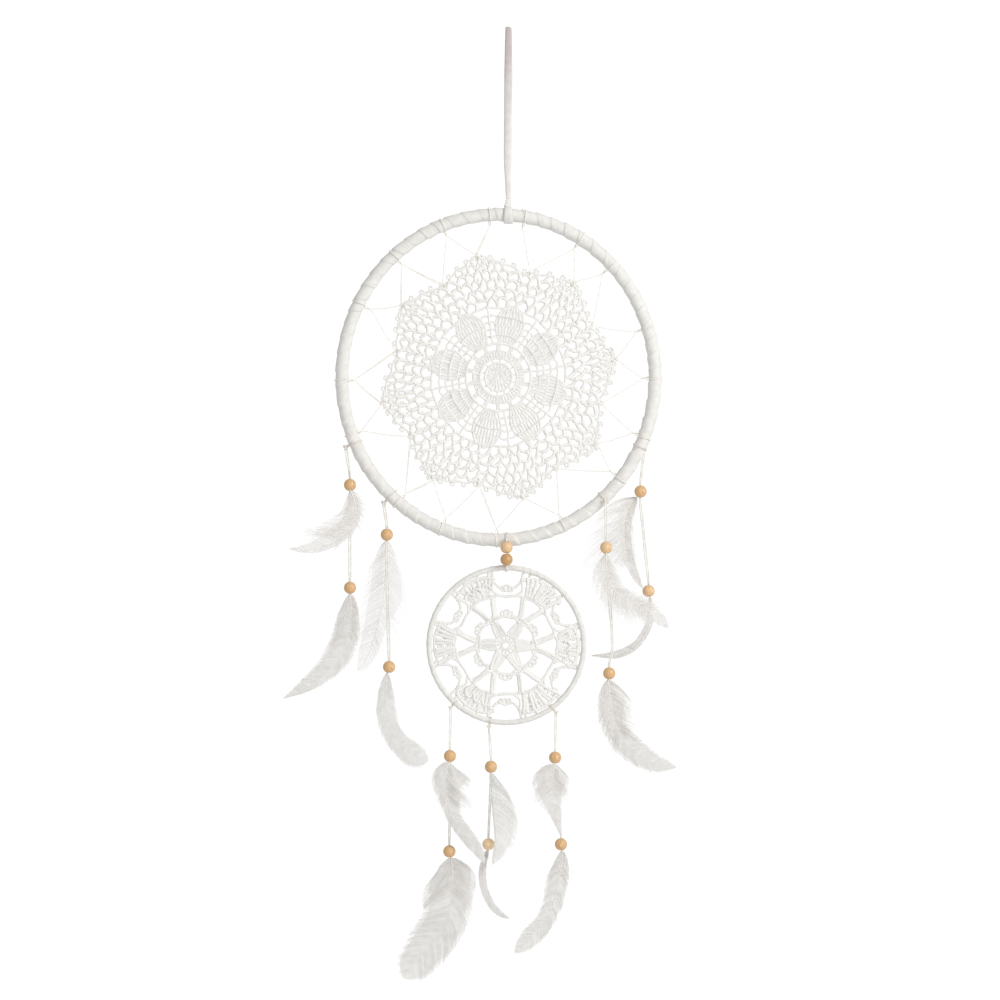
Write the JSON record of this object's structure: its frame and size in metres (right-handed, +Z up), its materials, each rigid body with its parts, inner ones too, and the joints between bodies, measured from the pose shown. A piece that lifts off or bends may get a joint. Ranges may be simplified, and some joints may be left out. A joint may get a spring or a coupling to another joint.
{
  "type": "dream catcher",
  "caption": "Hanging dream catcher: a large and a small wrapped hoop with crochet doilies, a hanging lace, and strands of cord with wooden beads and white feathers.",
  "frame": {"origin": "the inside top of the hanging loop, where a hook carries it", "axes": "+Z up, the face looks along -Y, +X to the right seen from the front"},
  "size_m": [0.2576, 0.0326, 0.6274],
  "materials": {
    "lace": "soft suede ribbon",
    "wrap": "ivory suede strip",
    "crochet": "cotton crochet",
    "rattan": "plain rattan",
    "steel": "drawn wire",
    "bead": "satin turned wood",
    "thread": "waxed cotton thread",
    "feather": "white feather"
  },
  "bodies": {
    "hanger": {"hanger_lace": "lace"},
    "hitch": {"hanger_hitch": "lace"},
    "large_hoop": {"large_hoop_core": "rattan", "large_hoop_wrap": "wrap", "large_doily": "crochet", "lacing_thread": "thread", "strand_a_knot": "thread", "strand_b_knot": "thread", "strand_c_knot": "thread", "strand_d_knot": "thread"},
    "link_upper": {"link_cord_upper": "thread", "link_bead_upper": "bead"},
    "link_lower": {"link_cord_lower": "thread", "link_bead_lower": "bead"},
    "small_hoop": {"small_hoop_core": "steel", "small_hoop_wrap": "wrap", "small_doily": "crochet", "strand_e_knot": "thread", "strand_f_knot": "thread", "strand_g_knot": "thread"},
    "strand_a": {"strand_a_cord_upper": "thread", "strand_a_bead_upper": "bead", "strand_a_feather_upper": "feather"},
    "strand_a_tail": {"strand_a_cord_lower": "thread", "strand_a_bead_lower": "bead", "strand_a_feather_lower": "feather"},
    "strand_b": {"strand_b_cord_upper": "thread", "strand_b_bead_upper": "bead", "strand_b_feather_upper": "feather"},
    "strand_b_tail": {"strand_b_cord_lower": "thread", "strand_b_bead_lower": "bead", "strand_b_feather_lower": "feather"},
    "strand_c": {"strand_c_cord_upper": "thread", "strand_c_bead_upper": "bead", "strand_c_feather_upper": "feather"},
    "strand_c_tail": {"strand_c_cord_lower": "thread", "strand_c_bead_lower": "bead", "strand_c_feather_lower": "feather"},
    "strand_d": {"strand_d_cord": "thread", "strand_d_bead_upper": "bead", "strand_d_feather_upper": "feather", "strand_d_bead_lower": "bead", "strand_d_feather_lower": "feather"},
    "strand_e": {"strand_e_cord_upper": "thread", "strand_e_bead_upper": "bead", "strand_e_feather_upper": "feather"},
    "strand_e_tail": {"strand_e_cord_lower": "thread", "strand_e_bead_lower": "bead", "strand_e_feather_lower": "feather"},
    "strand_f": {"strand_f_cord": "thread", "strand_f_bead_upper": "bead", "strand_f_feather_upper": "feather", "strand_f_bead_lower": "bead", "strand_f_feather_lower": "feather"},
    "strand_g": {"strand_g_cord_upper": "thread", "strand_g_bead_upper": "bead", "strand_g_feather_upper": "feather"},
    "strand_g_tail": {"strand_g_cord_lower": "thread", "strand_g_bead_lower": "bead", "strand_g_feather_lower": "feather"}
  },
  "joints": [
    {"name": "hanger_twist", "type": "hinge", "parent": "hanger", "child": "hitch", "pos_m": [0, 0, -0.1113], "axis": [0, 0, 1], "range_deg": [-90, 90]},
    {"name": "hoop_tilt", "type": "hinge", "parent": "hitch", "child": "large_hoop", "pos_m": [0, 0, -0.1231], "axis": [1, 0, 0], "range_deg": [-25, 25]},
    {"name": "link_swing", "type": "hinge", "parent": "large_hoop", "child": "link_upper", "pos_m": [-0.0013, 0, -0.3381], "axis": [1, 0, 0], "range_deg": [-15, 15]},
    {"name": "link_twist", "type": "hinge", "parent": "link_upper", "child": "link_lower", "pos_m": [-0.0013, -0.0089, -0.347], "axis": [0, 0, 1], "range_deg": [-90, 90]},
    {"name": "small_hoop_tilt", "type": "hinge", "parent": "link_lower", "child": "small_hoop", "pos_m": [-0.0013, -0.0037, -0.3565], "axis": [1, 0, 0], "range_deg": [-20, 20]},
    {"name": "strand_a_swing", "type": "hinge", "parent": "large_hoop", "child": "strand_a", "pos_m": [-0.1075, 0, -0.279], "axis": [1, 0, 0], "range_deg": [-20, 20]},
    {"name": "strand_a_tail_swing", "type": "hinge", "parent": "strand_a", "child": "strand_a_tail", "pos_m": [-0.1048, 0, -0.3059], "axis": [1, 0, 0], "range_deg": [-8, 20]},
    {"name": "strand_b_swing", "type": "hinge", "parent": "large_hoop", "child": "strand_b", "pos_m": [-0.0824, 0, -0.3159], "axis": [1, 0, 0], "range_deg": [-20, 20]},
    {"name": "strand_b_tail_swing", "type": "hinge", "parent": "strand_b", "child": "strand_b_tail", "pos_m": [-0.0805, 0, -0.3388], "axis": [1, 0, 0], "range_deg": [-20, 7]},
    {"name": "strand_c_swing", "type": "hinge", "parent": "large_hoop", "child": "strand_c", "pos_m": [0.0643, -0.0063, -0.3144], "axis": [1, 0, 0], "range_deg": [-20, 8]},
    {"name": "strand_c_tail_swing", "type": "hinge", "parent": "strand_c", "child": "strand_c_tail", "pos_m": [0.0645, -0.0063, -0.3473], "axis": [1, 0, 0], "range_deg": [-7, 12]},
    {"name": "strand_d_swing", "type": "hinge", "parent": "large_hoop", "child": "strand_d", "pos_m": [0.0901, 0.0058, -0.2804], "axis": [1, 0, 0], "range_deg": [-5, 20]},
    {"name": "strand_e_swing", "type": "hinge", "parent": "small_hoop", "child": "strand_e", "pos_m": [-0.0382, -0.0037, -0.4512], "axis": [1, 0, 0], "range_deg": [-20, 20]},
    {"name": "strand_e_tail_swing", "type": "hinge", "parent": "strand_e", "child": "strand_e_tail", "pos_m": [-0.0387, -0.0037, -0.4851], "axis": [1, 0, 0], "range_deg": [-7, 20]},
    {"name": "strand_f_swing", "type": "hinge", "parent": "small_hoop", "child": "strand_f", "pos_m": [-0.0128, -0.0037, -0.464], "axis": [1, 0, 0], "range_deg": [-20, 20]},
    {"name": "strand_g_swing", "type": "hinge", "parent": "small_hoop", "child": "strand_g", "pos_m": [0.0314, -0.0037, -0.4544], "axis": [1, 0, 0], "range_deg": [-20, 20]},
    {"name": "strand_g_tail_swing", "type": "hinge", "parent": "strand_g", "child": "strand_g_tail", "pos_m": [0.0308, -0.0037, -0.4861], "axis": [1, 0, 0], "range_deg": [-7, 20]}
  ]
}
